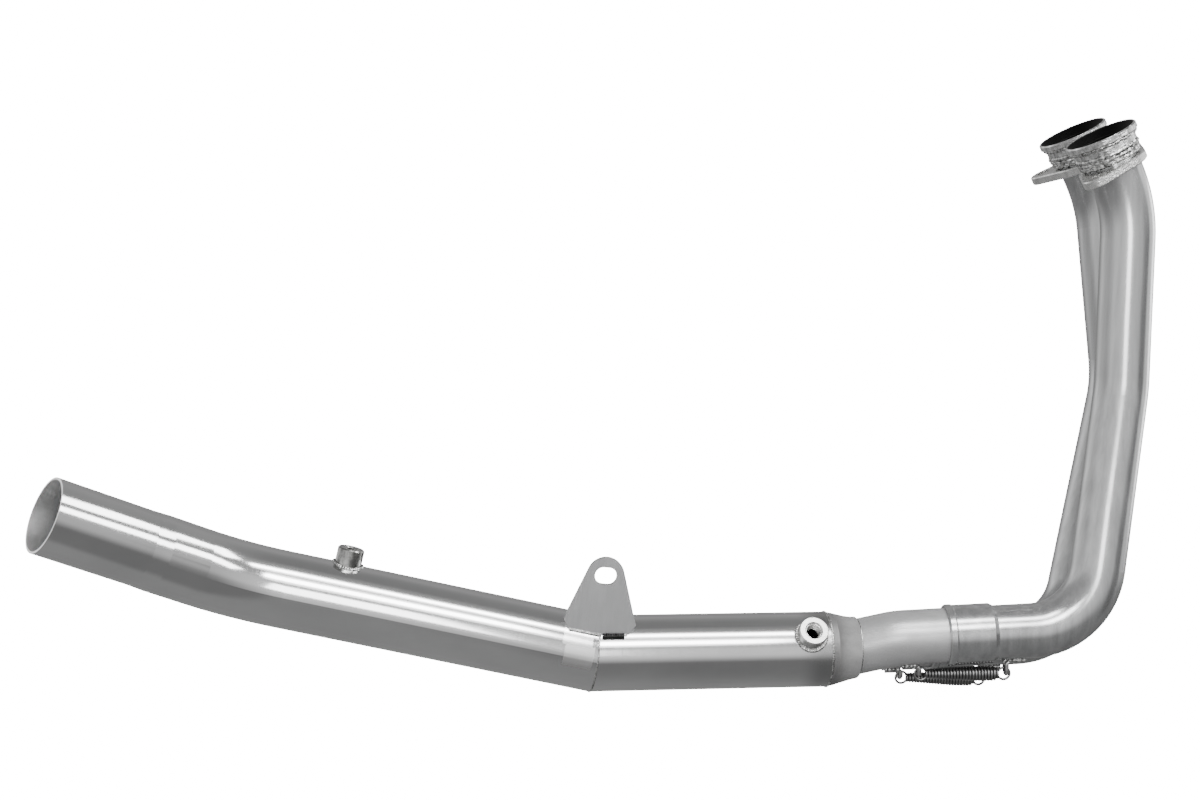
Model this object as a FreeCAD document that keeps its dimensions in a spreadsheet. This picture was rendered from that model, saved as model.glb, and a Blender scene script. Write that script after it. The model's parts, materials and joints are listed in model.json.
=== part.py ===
import FreeCAD, Part
import math
import os
import Sketcher
from FreeCAD import Placement, Rotation, Vector

# Two-into-one exhaust header for a parallel twin motorcycle, in bare stainless steel.
# +X points to the front of the machine, +Y to its left, +Z up, all in millimetres.
# The origin is the middle of the rim of the near (right-hand) port ring, on its axis.

doc = FreeCAD.newDocument("exhaust_header")
sheet = doc.addObject("Spreadsheet::Sheet", "sizes")

SIZES = [
    # The two exhaust ports of the cylinder head
    ("port_pitch", 90.0, "distance between the two ports, along Y"),
    ("port_lean", 25.0, "degrees that the port axes lean rearwards as they rise"),
    ("port_side_lean", 3.7, "degrees that the port axes lean to the right as they rise"),
    # Header tube
    ("header_radius", 19.0, "outer radius of a header tube"),
    ("header_wall", 1.5, "wall of a header tube"),
    ("upper_bend_radius", 95.0, "centreline radius of the bend below the port"),
    ("middle_bend_radius", 80.0, "centreline radius of the bend half way down"),
    ("lower_bend_radius", 50.0, "centreline radius of the bend under the engine"),
    # Port ring
    ("ring_radius", 25.6, "outer radius of the sealing rim"),
    ("ring_height", 4.0, "height of the sealing rim"),
    ("hub_radius", 22.5, "radius of the hub below the rim"),
    ("hub_height", 8.0, "height of the hub below the rim"),
    ("mouth_radius", 24.2, "radius of the ring's mouth at the sealing face"),
    ("funnel_depth", 6.0, "depth over which the mouth narrows to the tube's bore"),
    ("tube_seat_depth", 7.5, "depth from the sealing face to the end of the tube"),
    ("seat_clearance", 0.1, "radial gap between the tube and the ring's seat"),
    ("rim_chamfer", 0.8, "chamfer of the sealing rim"),
    # Flange plates
    ("flange_drop", 24.0, "distance from the sealing face to the middle of the plate"),
    ("flange_thickness", 6.0, "thickness of the plate"),
    ("flange_hub_radius", 24.0, "radius of the plate round the tube"),
    ("flange_ear_radius", 10.0, "radius of an ear"),
    ("flange_hole_pitch", 63.0, "distance between the two stud holes"),
    ("flange_hole_radius", 4.3, "radius of a stud hole"),
    ("flange_clearance", 0.5, "radial gap between the plate and the tube"),
    ("flange_chamfer", 0.8, "chamfer of the plate's outline"),
    ("near_flange_turn", 56.0, "degrees that the near plate stands turned from fore and aft"),
    ("far_flange_turn", -25.0, "degrees that the far plate stands turned from fore and aft"),
    # Route of the near header pipe
    ("near_upper_drop", 54.0, "from the sealing face to the corner of the upper bend"),
    ("near_middle_x", 18.0, "corner of the middle bend"),
    ("near_middle_y", -8.0, "corner of the middle bend"),
    ("near_middle_z", -174.0, "corner of the middle bend"),
    ("near_lower_x", -7.5, "corner of the lower bend"),
    ("near_lower_y", -46.0, "corner of the lower bend"),
    ("near_lower_z", -336.5, "corner of the lower bend"),
    # Route of the far header pipe
    ("far_upper_drop", 56.0, "from the sealing face to the corner of the upper bend"),
    ("far_middle_x", 34.5, "corner of the middle bend"),
    ("far_middle_y", 76.0, "corner of the middle bend"),
    ("far_middle_z", -179.5, "corner of the middle bend"),
    ("far_lower_x", -13.0, "corner of the lower bend"),
    ("far_lower_y", 10.0, "corner of the lower bend"),
    ("far_lower_z", -357.0, "corner of the lower bend"),
    # Slip joints between the header pipes and the collector
    ("socket_clearance", 0.2, "radial gap between a socket and the inlet in it"),
    ("socket_length", 34.0, "length of a socket"),
    ("socket_cone", 3.0, "length of the cone where the tube widens into the socket"),
    ("lip_length", 5.5, "length of the raised band at the socket's lip"),
    ("lip_height", 0.6, "height of the band above the socket"),
    ("lip_slope", 1.0, "length of the slope between the band and the socket"),
    ("socket_start", 34.0, "from the inlet's bend to the lip of the socket"),
    ("inlet_engagement", 27.0, "length of inlet inside the socket"),
    # Collector
    ("collector_x", -173.0, "centre of the collector's front edge"),
    ("collector_y", -40.5, "centre of the collector's front edge"),
    ("collector_z", -353.0, "centre of the collector's front edge"),
    ("collector_roll", 18.0, "degrees that the pair of inlets is rolled, near one up"),
    ("inlet_insertion", 1.5, "length of the inlets inside the neck"),
    ("inlet_offset", 11.5, "half the distance between the inlets' ends"),
    ("inlet_turn_ahead", 28.0, "from the collector's front edge to the inlets' bend"),
    ("inlet_turn_spread", 20.4, "half the distance between the inlets at their bend"),
    ("inlet_rise", 5.5, "rise of the inlets up to their bend"),
    ("inlet_bend_radius", 50.0, "centreline radius of an inlet's bend"),
    ("neck_length", 18.0, "length of the formed neck"),
    ("neck_shoulder", 5.0, "length of the neck's gentle first part"),
    ("neck_fall", 1.0, "how much the neck narrows along its first part"),
    ("neck_spread", 1.6, "how much further apart than the inlets' ends the oval's centres lie"),
    ("neck_wall", 1.5, "wall of the neck"),
    ("neck_gap", 0.8, "gap round the pair of inlets in the neck, filled by the weld"),
    # Link pipe
    ("link_radius", 26.0, "outer radius of the link pipe"),
    ("link_wall", 1.5, "wall of the link pipe"),
    ("mitre_x", -352.0, "corner of the mitred joint"),
    ("mitre_y", -67.0, "corner of the mitred joint"),
    ("mitre_z", -349.5, "corner of the mitred joint"),
    ("link_bend_x", -589.0, "corner of the rear bend"),
    ("link_bend_y", -100.0, "corner of the rear bend"),
    ("link_bend_z", -290.5, "corner of the rear bend"),
    ("link_bend_radius", 150.0, "centreline radius of the rear bend"),
    ("outlet_x", -698.5, "centre of the outlet's edge"),
    ("outlet_y", -164.0, "centre of the outlet's edge"),
    ("outlet_z", -234.5, "centre of the outlet's edge"),
    ("outlet_length", 68.0, "length of the sized end that takes the silencer"),
    ("outlet_step", 0.5, "how much smaller the sized end's radius is"),
    ("outlet_cone", 12.0, "length of the cone behind the sized end"),
    # Hanger bracket
    ("hanger_ahead", -1.0, "from the mitre to the middle of the hanger, along the pipes"),
    ("hanger_side", 17.5, "distance of the plate's middle from the pipe's axis, to the right"),
    ("hanger_thickness", 3.5, "thickness of the plate"),
    ("hanger_base", 49.5, "greatest width of the plate"),
    ("hanger_shoulder", 26.5, "height of the plate's widest place above the pipe's axis"),
    ("hanger_foot", 27.0, "width of the plate's foot, inside the pipe's round"),
    ("hanger_height", 58.4, "height of the slot above the pipe's axis"),
    ("hanger_top_radius", 12.7, "radius round the slot"),
    ("slot_radius", 5.8, "half the width of the slot"),
    ("slot_length", 15.0, "length of the slot from end to end"),
    # Threaded bosses
    ("sensor_radius", 10.2, "outer radius of the sensor boss"),
    ("sensor_bore", 5.4, "bore radius of the sensor boss, for an M12 thread"),
    ("sensor_reach", 35.0, "distance of the boss's face from the pipe's axis"),
    ("sensor_back", 33.0, "from the collector's front edge back to the boss's axis"),
    ("sensor_tilt", 36.0, "degrees that the boss points up from level"),
    ("boss_radius", 9.0, "outer radius of the small rear boss"),
    ("boss_bore", 4.2, "bore radius of the small rear boss, for an M10 thread"),
    ("boss_reach", 37.0, "distance of the small boss's face from the pipe's axis"),
    ("boss_ahead", 70.0, "from the rear bend's corner forward to the small boss"),
    ("boss_chamfer", 0.8, "chamfer of both bosses"),
    # Spring lugs and springs
    ("lug_wire_radius", 1.5, "radius of the lug's wire"),
    ("lug_width", 7.0, "distance between the two legs of a lug"),
    ("lug_foot", 12.0, "length of the legs welded along the pipe"),
    ("lug_bend_radius", 2.2, "radius at which the legs turn down"),
    ("lug_seat_gap", 0.2, "gap between the legs and the pipe, filled by the weld"),
    ("rear_lug_reach", 7.3, "from the inlet's surface to the middle of the wire that is hooked"),
    ("front_lug_reach", 10.4, "from the pipe's surface to the middle of the wire that is hooked"),
    ("rear_lug_gap", 19.0, "from the socket's lip back to the rear lug"),
    ("front_lug_gap", 8.0, "from the front end of the socket to the front lug"),
    ("spring_wire_radius", 0.9, "radius of the spring's wire"),
    ("spring_radius", 5.2, "outer radius of the coil"),
    ("spring_end_radius", 3.2, "outer radius of the coil at both ends"),
    ("front_taper", 4.0, "length over which the coil's front end draws in"),
    ("rear_taper", 30.0, "length over which the coil's rear end draws in"),
    ("hook_radius", 4.2, "radius of a hook, at the middle of its wire"),
    ("coil_count", 24, "number of turns"),
    ("hook_clearance", 0.3, "gap between a hook and the lug's wire"),
    # Cutting tools
    ("saddle_overrun", 12.0, "how far the bar runs past the mitre"),
]


def write_sizes():
    for row, (alias, value, note) in enumerate(SIZES, start=1):
        sheet.set(f"A{row}", note)
        sheet.set(f"B{row}", str(value))
        sheet.setAlias(f"B{row}", alias)
    doc.recompute()


def size(alias):
    return float(sheet.get(alias))


def bind(obj, prop, expression):
    obj.setExpression(prop, expression)


def point(name):
    return Vector(size(name + "_x"), size(name + "_y"), size(name + "_z"))


def unit(vector):
    return vector * (1.0 / vector.Length)


def across(vector, axis):
    """Part of a vector that stands square to an axis, as a unit vector."""
    return unit(vector - axis * vector.dot(axis))


def frame(origin, z_dir, x_hint):
    """Placement at a point, with its Z along z_dir and its X as near to x_hint as it can be."""
    z_dir = unit(z_dir)
    x_dir = across(x_hint, z_dir)
    y_dir = z_dir.cross(x_dir)
    return Placement(origin, Rotation(x_dir, y_dir, z_dir, "ZXY"))


UP = Vector(0, 0, 1)
FORWARD = Vector(1, 0, 0)
RIGHT = Vector(0, -1, 0)
# Share of a lug's half width that the arcs at its closed end take
LOOP_SHARE = 0.98
# How far out the valley between two turns lies, as a share of the wire's radius
VALLEY_SHARE = 0.5
# Edge of a block that trims along a plane, in radii of the link pipe
TRIM_SHARE = 8
# Length of a bar that cuts a foot to the pipe's round, in radii of the link pipe
SADDLE_SHARE = 5
# Cell of the sheet in which expressions are worked out
SPARE_CELL = "D1"


# Paths of lines and tangent arcs

def bent_path(points, radii):
    """Wire through straight runs joined by tangent arcs, one radius for each inner corner."""
    edges = []
    start = points[0]
    for before, corner, after, radius in zip(points, points[1:], points[2:], radii):
        into = unit(corner - before)
        out = unit(after - corner)
        half_turn = into.getAngle(out) / 2
        tangent = radius * math.tan(half_turn)
        first = corner - into * tangent
        last = corner + out * tangent
        bisector = unit(out - into)
        centre = corner + bisector * (radius / math.cos(half_turn))
        middle = centre - bisector * radius
        edges.append(Part.LineSegment(start, first).toShape())
        edges.append(Part.Arc(first, middle, last).toShape())
        start = last
    edges.append(Part.LineSegment(start, points[-1]).toShape())
    return Part.Wire(edges)


def path_object(name, points, radii):
    path = doc.addObject("Part::Feature", name)
    path.Shape = bent_path(points, radii)
    return path


def swept(name, path, radius_expression):
    """Solid round bar along a path, its radius bound to the sheet."""
    edges = path.Shape.Edges
    start = edges[0].Vertexes[0].Point
    direction = edges[0].tangentAt(edges[0].FirstParameter)
    profile = doc.addObject("Part::Circle", name + "_profile")
    bind(profile, "Radius", radius_expression)
    profile.Placement = frame(start, direction, UP.cross(direction))
    sweep = doc.addObject("Part::Sweep", name)
    sweep.Sections = [profile]
    sweep.Spine = (path, [f"Edge{i + 1}" for i in range(len(edges))])
    sweep.Solid = True
    sweep.Frenet = False
    sweep.Transition = "Right corner"
    return sweep


def cut(name, base, tool):
    result = doc.addObject("Part::Cut", name)
    result.Base = base
    result.Tool = tool
    return result


def fuse(name, shapes):
    result = doc.addObject("Part::MultiFuse", name)
    result.Shapes = shapes
    result.Refine = True
    return result


def tube(name, path, radius, wall):
    outer = swept(name + "_outer", path, f"sizes.{radius}")
    inner = swept(name + "_bore", path, f"sizes.{radius} - sizes.{wall}")
    return cut(name, outer, inner)


def cylinder(name, radius, height, placement):
    result = doc.addObject("Part::Cylinder", name)
    bind(result, "Radius", radius)
    bind(result, "Height", height)
    result.Placement = placement
    return result


def half_space(name, origin, normal):
    """Large block whose one face stands at a plane, on the side that the normal points to."""
    box = doc.addObject("Part::Box", name)
    for edge in ("Length", "Width", "Height"):
        bind(box, edge, f"sizes.link_radius * {TRIM_SHARE}")
    reach = size("link_radius") * TRIM_SHARE
    place = frame(origin, normal, FORWARD if abs(normal.dot(FORWARD)) < 0.9 * normal.Length else UP)
    box.Placement = place.multiply(Placement(Vector(-reach / 2, -reach / 2, 0), Rotation()))
    return box


# Bodies made from sketches

def plane(body, role):
    return next(f for f in body.Origin.OriginFeatures if f.Role == role)


def sketch_on(body, name, role):
    sketch = body.newObject("Sketcher::SketchObject", name)
    sketch.AttachmentSupport = (plane(body, role), "")
    sketch.MapMode = "FlatFace"
    return sketch


def new_body(name):
    body = doc.addObject("PartDesign::Body", name)
    body.Label = name
    return body


def constrain(sketch, kind, *arguments, expression=None):
    index = sketch.addConstraint(Sketcher.Constraint(kind, *arguments))
    if expression:
        sketch.setExpression(f"Constraints[{index}]", expression)
    return index


def profile_sketch(body, name, corners):
    """Closed outline on the XZ plane for turning about Z. Each corner is a pair of radius and height,
    given as expressions of the sheet, and both are bound to it."""
    sketch = sketch_on(body, name, "XZ_Plane")
    values = [(value_of(r), value_of(z)) for r, z in corners]
    count = len(corners)
    for i in range(count):
        start = Vector(*values[i], 0)
        end = Vector(*values[(i + 1) % count], 0)
        sketch.addGeometry(Part.LineSegment(start, end), False)
    for i in range(count):
        constrain(sketch, "Coincident", i, 2, (i + 1) % count, 1)
    for i, (r, z) in enumerate(corners):
        constrain(sketch, "DistanceX", -1, 1, i, 1, values[i][0], expression=r)
        constrain(sketch, "DistanceY", -1, 1, i, 1, values[i][1], expression=z)
    return sketch


def value_of(expression):
    """Value of an expression of the sheet, worked out in a spare cell."""
    sheet.set(SPARE_CELL, "=" + expression.replace("sizes.", ""))
    sheet.recompute()
    return float(sheet.get(SPARE_CELL))


def turned(body, sketch):
    revolve = body.newObject("PartDesign::Revolution", sketch.Name + "_turned")
    revolve.Profile = sketch
    revolve.ReferenceAxis = (sketch, ["V_Axis"])
    revolve.Angle = 360
    body.Tip = revolve
    return revolve


def edges_where(feature, test):
    return [f"Edge{i + 1}" for i, edge in enumerate(feature.Shape.Edges) if test(edge)]


# Ports and pipes

def port_axis():
    """Direction in which a port's axis rises."""
    lean = math.radians(size("port_lean"))
    side = math.radians(size("port_side_lean"))
    return Vector(-math.sin(lean) * math.cos(side), -math.sin(side), math.cos(lean) * math.cos(side))


def port_centre(side):
    """Centre of a port ring's sealing face, half the rim's height above the middle of the rim."""
    middle = Vector(0, 0, 0) if side == "near" else Vector(0, size("port_pitch"), 0)
    return middle + port_axis() * (size("ring_height") / 2)


def port_ring(side):
    """Turned sealing ring: a rim, a funnel in its mouth, a hub and a seat for the end of the tube."""
    body = new_body(side + "_port_ring")
    bore = "sizes.header_radius - sizes.header_wall"
    seat = "sizes.header_radius + sizes.seat_clearance"
    foot = "-sizes.ring_height - sizes.hub_height"
    corners = [
        (bore, "-sizes.funnel_depth"),
        ("sizes.mouth_radius", "0"),
        ("sizes.ring_radius - sizes.rim_chamfer", "0"),
        ("sizes.ring_radius", "-sizes.rim_chamfer"),
        ("sizes.ring_radius", "-sizes.ring_height"),
        ("sizes.hub_radius", "-sizes.ring_height"),
        ("sizes.hub_radius", foot + " + 2 * sizes.rim_chamfer"),
        ("sizes.hub_radius - 2 * sizes.rim_chamfer", foot),
        (seat, foot),
        (seat, "-sizes.tube_seat_depth"),
        (bore, "-sizes.tube_seat_depth"),
    ]
    turned(body, profile_sketch(body, side + "_ring_outline", corners))
    body.Placement = frame(port_centre(side), port_axis(), FORWARD)
    return body


def flange_outline(sketch):
    """Oval outline: a round middle and two ears, joined by straight tangent flanks."""
    hub = size("flange_hub_radius")
    ear = size("flange_ear_radius")
    reach = size("flange_hole_pitch") / 2
    lean = math.asin((hub - ear) / reach)
    across_x = math.sin(lean)
    across_y = math.cos(lean)
    hub_angle = math.pi / 2 - lean
    z_axis = Vector(0, 0, 1)

    def arc(centre_x, radius, start, end):
        circle = Part.Circle(Vector(centre_x, 0, 0), z_axis, radius)
        return sketch.addGeometry(Part.ArcOfCircle(circle, start, end), False)

    def flank(sign_x, sign_y):
        start = Vector(sign_x * hub * across_x, sign_y * hub * across_y, 0)
        end = Vector(sign_x * (reach + ear * across_x), sign_y * ear * across_y, 0)
        return sketch.addGeometry(Part.LineSegment(start, end), False)

    right_ear = arc(reach, ear, -hub_angle, hub_angle)
    top = arc(0, hub, hub_angle, math.pi - hub_angle)
    left_ear = arc(-reach, ear, math.pi - hub_angle, math.pi + hub_angle)
    bottom = arc(0, hub, math.pi + hub_angle, 2 * math.pi - hub_angle)
    top_right = flank(1, 1)
    top_left = flank(-1, 1)
    bottom_left = flank(-1, -1)
    bottom_right = flank(1, -1)
    for line, hub_arc, hub_end, ear_arc, ear_end in (
        (top_right, top, 1, right_ear, 2),
        (top_left, top, 2, left_ear, 1),
        (bottom_left, bottom, 1, left_ear, 2),
        (bottom_right, bottom, 2, right_ear, 1),
    ):
        constrain(sketch, "Tangent", line, 1, hub_arc, hub_end)
        constrain(sketch, "Tangent", line, 2, ear_arc, ear_end)
    for hub_arc in (top, bottom):
        constrain(sketch, "Coincident", hub_arc, 3, -1, 1)
        constrain(sketch, "Radius", hub_arc, hub, expression="sizes.flange_hub_radius")
    for ear_arc, sign in ((right_ear, 1), (left_ear, -1)):
        constrain(sketch, "PointOnObject", ear_arc, 3, -1)
        constrain(sketch, "DistanceX", -1, 1, ear_arc, 3, sign * reach,
                  expression=f"{sign} * sizes.flange_hole_pitch / 2")
        constrain(sketch, "Radius", ear_arc, ear, expression="sizes.flange_ear_radius")
    return right_ear, left_ear


def round_hole(sketch, on_geometry, on_point, centre, expression):
    hole = sketch.addGeometry(Part.Circle(centre, Vector(0, 0, 1), value_of(expression)), False)
    constrain(sketch, "Coincident", hole, 3, on_geometry, on_point)
    constrain(sketch, "Radius", hole, value_of(expression), expression=expression)


def flange(side):
    """Loose two-hole plate that clamps the ring to the cylinder head. It turns on its tube."""
    body = new_body(side + "_flange")
    sketch = sketch_on(body, side + "_flange_outline", "XY_Plane")
    right_ear, left_ear = flange_outline(sketch)
    reach = size("flange_hole_pitch") / 2
    round_hole(sketch, -1, 1, Vector(0, 0, 0), "sizes.header_radius + sizes.flange_clearance")
    round_hole(sketch, right_ear, 3, Vector(reach, 0, 0), "sizes.flange_hole_radius")
    round_hole(sketch, left_ear, 3, Vector(-reach, 0, 0), "sizes.flange_hole_radius")
    pad = body.newObject("PartDesign::Pad", side + "_flange_plate")
    pad.Profile = sketch
    bind(pad, "Length", "sizes.flange_thickness")
    pad.Midplane = True
    doc.recompute()
    half = size("flange_thickness") / 2
    hub = size("flange_hub_radius")
    hole = size("flange_hole_radius")

    def on_outline(edge):
        flat = all(abs(abs(v.Point.z) - half) < 1e-4 for v in edge.Vertexes)
        level = abs(edge.Vertexes[0].Point.z - edge.Vertexes[-1].Point.z) < 1e-4
        curve = edge.Curve
        inner = isinstance(curve, Part.Circle) and curve.Radius not in (hub, size("flange_ear_radius"))
        return flat and level and not inner and edge.Length > 2 * hole

    chamfer = body.newObject("PartDesign::Chamfer", side + "_flange_edges")
    chamfer.Base = (pad, edges_where(pad, on_outline))
    bind(chamfer, "Size", "sizes.flange_chamfer")
    body.Tip = chamfer
    axis = port_axis()
    place = frame(port_centre(side) - axis * size("flange_drop"), axis, FORWARD)
    turn = Placement(Vector(0, 0, 0), Rotation(Vector(0, 0, 1), size(side + "_flange_turn")))
    body.Placement = place.multiply(turn)
    return body


def collector_frame():
    """Front edge of the collector: its centre, axis, direction to the near inlet, and up."""
    centre = point("collector")
    axis = unit(centre - point("mitre"))
    level_right = across(RIGHT, axis)
    roll = Rotation(axis, -size("collector_roll"))
    near_side = roll.multVec(level_right)
    up = roll.multVec(across(UP, axis))
    return centre, axis, near_side, up


def inlet_points(side):
    """Start in the neck, bend corner and direction of the run into the socket."""
    centre, axis, near_side, up = collector_frame()
    outward = near_side if side == "near" else near_side * -1
    start = centre - axis * size("inlet_insertion") + outward * size("inlet_offset")
    corner = centre + axis * size("inlet_turn_ahead") + outward * size("inlet_turn_spread")
    corner = corner + up * size("inlet_rise")
    run = unit(point(side + "_lower") - corner)
    return start, corner, run


def inlet(side):
    """Short bent tube, cut along the plane where it meets its neighbour and square to the neck."""
    start, corner, run = inlet_points(side)
    centre, axis, near_side, up = collector_frame()
    end = corner + run * (size("socket_start") + size("inlet_engagement"))
    longer = start - unit(corner - start) * size("header_radius")
    path = path_object(side + "_inlet_path", [longer, corner, end], [size("inlet_bend_radius")])
    whole = tube(side + "_inlet_tube", path, "header_radius", "header_wall")
    edge = centre - axis * size("inlet_insertion")
    trimmed = cut(side + "_inlet_trimmed", whole, half_space(side + "_inlet_edge", edge, axis * -1))
    away = near_side * -1 if side == "near" else near_side
    piece = cut(side + "_inlet", trimmed, half_space(side + "_inlet_meeting", centre, away))
    piece.Label = side + "_inlet"
    return piece


def socket(side, lip, direction):
    """Widened end of a header tube, from the raised band at its lip to the cone at the tube."""
    body = new_body(side + "_socket")
    inner = "sizes.header_radius + sizes.socket_clearance"
    outer = inner + " + sizes.header_wall"
    tube_inner = "sizes.header_radius - sizes.header_wall"
    end = "sizes.socket_length"
    shoulder = "sizes.socket_length - sizes.socket_cone"
    band = outer + " + sizes.lip_height"
    corners = [
        (inner, "0"),
        (outer, "0"),
        (band, "sizes.lip_slope"),
        (band, "sizes.lip_length - sizes.lip_slope"),
        (outer, "sizes.lip_length"),
        (outer, shoulder),
        ("sizes.header_radius", end),
        (tube_inner, end),
        (inner, shoulder),
    ]
    turned(body, profile_sketch(body, side + "_socket_outline", corners))
    body.Placement = frame(lip, direction, UP)
    return body


def header_pipe(side):
    """Bent tube from the port ring down to its socket on the collector's inlet."""
    start, corner, run = inlet_points(side)
    lip = corner + run * size("socket_start")
    tube_end = lip + run * size("socket_length")
    down = port_axis() * -1
    top = port_centre(side) + down * size("tube_seat_depth")
    upper = port_centre(side) + down * size(side + "_upper_drop")
    points = [top, upper, point(side + "_middle"), point(side + "_lower"), tube_end]
    radii = [size("upper_bend_radius"), size("middle_bend_radius"), size("lower_bend_radius")]
    path = path_object(side + "_header_path", points, radii)
    bent = tube(side + "_header_tube", path, "header_radius", "header_wall")
    piece = fuse(side + "_header_pipe", [bent, socket(side, lip, run)])
    piece.Label = side + "_header_pipe"
    return piece


# Collector and link pipe

def oval_sketch(body, name, height, round_radius, half_run, flat):
    """Section of the neck at a height along its axis: two side arcs joined by two flat runs, or by
    two more arcs of the same circle where the section is round."""
    sketch = sketch_on(body, name, "XY_Plane")
    bind(sketch, "AttachmentOffset.Base.z", height)
    radius = value_of(round_radius)
    run = value_of(half_run)
    z_axis = Vector(0, 0, 1)
    shift = run if flat else 0.0
    corner = math.pi / 2 if flat else math.acos(run / radius)
    right_circle = Part.Circle(Vector(shift, 0, 0), z_axis, radius)
    left_circle = Part.Circle(Vector(-shift, 0, 0), z_axis, radius)
    right = sketch.addGeometry(Part.ArcOfCircle(right_circle, -corner, corner), False)
    if flat:
        top_line = Part.LineSegment(Vector(run, radius, 0), Vector(-run, radius, 0))
        bottom_line = Part.LineSegment(Vector(-run, -radius, 0), Vector(run, -radius, 0))
    else:
        top_line = Part.ArcOfCircle(right_circle, corner, math.pi - corner)
        bottom_line = Part.ArcOfCircle(right_circle, math.pi + corner, 2 * math.pi - corner)
    top = sketch.addGeometry(top_line, False)
    left = sketch.addGeometry(
        Part.ArcOfCircle(left_circle, math.pi - corner, math.pi + corner), False)
    bottom = sketch.addGeometry(bottom_line, False)
    for one, following in ((right, top), (top, left), (left, bottom), (bottom, right)):
        kind = "Tangent" if flat else "Coincident"
        constrain(sketch, kind, one, 2, following, 1)
    constrain(sketch, "Radius", right, radius, expression=round_radius)
    if flat:
        constrain(sketch, "PointOnObject", right, 3, -1)
        constrain(sketch, "PointOnObject", left, 3, -1)
        constrain(sketch, "DistanceX", -1, 1, right, 3, run, expression=half_run)
        constrain(sketch, "DistanceX", left, 3, -1, 1, run, expression=half_run)
    else:
        for arc in (right, top, left, bottom):
            constrain(sketch, "Coincident", arc, 3, -1, 1)
        for arc, end in ((right, 1), (right, 2)):
            constrain(sketch, "DistanceX", -1, 1, arc, end, run, expression=half_run)
        for arc, end in ((left, 1), (left, 2)):
            constrain(sketch, "DistanceX", arc, end, -1, 1, run, expression=half_run)
    return sketch


def collector_neck():
    """Formed shell from the round link pipe to an oval that holds the two inlets side by side."""
    body = new_body("collector_neck")
    half_run = "sizes.inlet_offset + sizes.neck_spread"
    oval = "sizes.header_radius + sizes.neck_gap"
    for kind, wall, skin in (("shell", "", " + sizes.neck_wall"), ("hollow", " - sizes.neck_wall", "")):
        round_radius = "sizes.link_radius" + wall
        rear = oval_sketch(body, f"neck_{kind}_rear", "0", round_radius, half_run, False)
        middle = oval_sketch(body, f"neck_{kind}_middle", "sizes.neck_shoulder",
                             f"{round_radius} - sizes.neck_fall", half_run, False)
        front = oval_sketch(body, f"neck_{kind}_front", "sizes.neck_length", oval + skin, half_run, True)
        feature = "PartDesign::AdditiveLoft" if kind == "shell" else "PartDesign::SubtractiveLoft"
        loft = body.newObject(feature, "neck_" + kind)
        loft.Profile = rear
        loft.Sections = [middle, front]
        loft.Ruled = True
        body.Tip = loft
    centre, axis, near_side, up = collector_frame()
    body.Placement = frame(centre - axis * size("neck_length"), axis, near_side)
    return body


def mitre_plane():
    """Plane in which the front and rear link pipes are cut to meet."""
    forward = unit(point("collector") - point("mitre"))
    rearward = unit(point("link_bend") - point("mitre"))
    return point("mitre"), unit(forward - rearward)


def link_front():
    """Straight front link pipe, mitred at its rear end, with the sensor's hole in its wall."""
    centre, axis, near_side, up = collector_frame()
    mitre, normal = mitre_plane()
    extra = size("link_radius")
    rear = mitre - axis * extra
    front = centre - axis * size("neck_length")
    straight = path_object("link_front_path", [rear, front], [])
    whole = tube("link_front_tube", straight, "link_radius", "link_wall")
    mitred = cut("link_front_mitred", whole, half_space("link_front_end", mitre, normal * -1))
    hole = cylinder("sensor_hole", "sizes.sensor_bore", "sizes.sensor_reach", sensor_place())
    piece = cut("link_front", mitred, hole)
    piece.Label = "link_front"
    return piece


def link_rear():
    """Rear link pipe: mitred front end, one bend, and a sized-down end for the silencer."""
    mitre, normal = mitre_plane()
    corner = point("link_bend")
    outlet = point("outlet")
    rearward = unit(corner - mitre)
    last_run = unit(outlet - corner)
    extra = size("link_radius")
    sized_start = outlet - last_run * (size("outlet_length") + size("outlet_cone"))
    path = path_object("link_rear_path", [mitre - rearward * extra, corner, sized_start],
                       [size("link_bend_radius")])
    whole = tube("link_rear_tube", path, "link_radius", "link_wall")
    mitred = cut("link_rear_mitred", whole, half_space("link_rear_end", mitre, normal))
    hole = cylinder("rear_boss_hole", "sizes.boss_bore", "sizes.boss_reach", rear_boss_place())
    drilled = cut("link_rear_drilled", mitred, hole)
    end = new_body("link_outlet")
    outer = "sizes.link_radius"
    inner = "sizes.link_radius - sizes.link_wall"
    length = "sizes.outlet_cone + sizes.outlet_length"
    corners = [
        (inner, "0"),
        (outer, "0"),
        (outer + " - sizes.outlet_step", "sizes.outlet_cone"),
        (outer + " - sizes.outlet_step", length),
        (inner + " - sizes.outlet_step", length),
        (inner + " - sizes.outlet_step", "sizes.outlet_cone"),
    ]
    turned(end, profile_sketch(end, "outlet_outline", corners))
    end.Placement = frame(sized_start, last_run, UP)
    piece = fuse("link_rear", [drilled, end])
    piece.Label = "link_rear"
    return piece


# Bosses and bracket

def sensor_place():
    """On the front link pipe's axis, pointing out along the sensor boss."""
    centre, axis, near_side, up = collector_frame()
    level = across(RIGHT, axis)
    tilt = math.radians(size("sensor_tilt"))
    outward = level * math.cos(tilt) + across(UP, axis) * math.sin(tilt)
    return frame(centre - axis * size("sensor_back"), outward, axis)


def rear_boss_place():
    """On the rear link pipe's axis, pointing up along the small boss."""
    corner = point("link_bend")
    forward = unit(point("mitre") - corner)
    return frame(corner + forward * size("boss_ahead"), across(UP, forward), forward)


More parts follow.
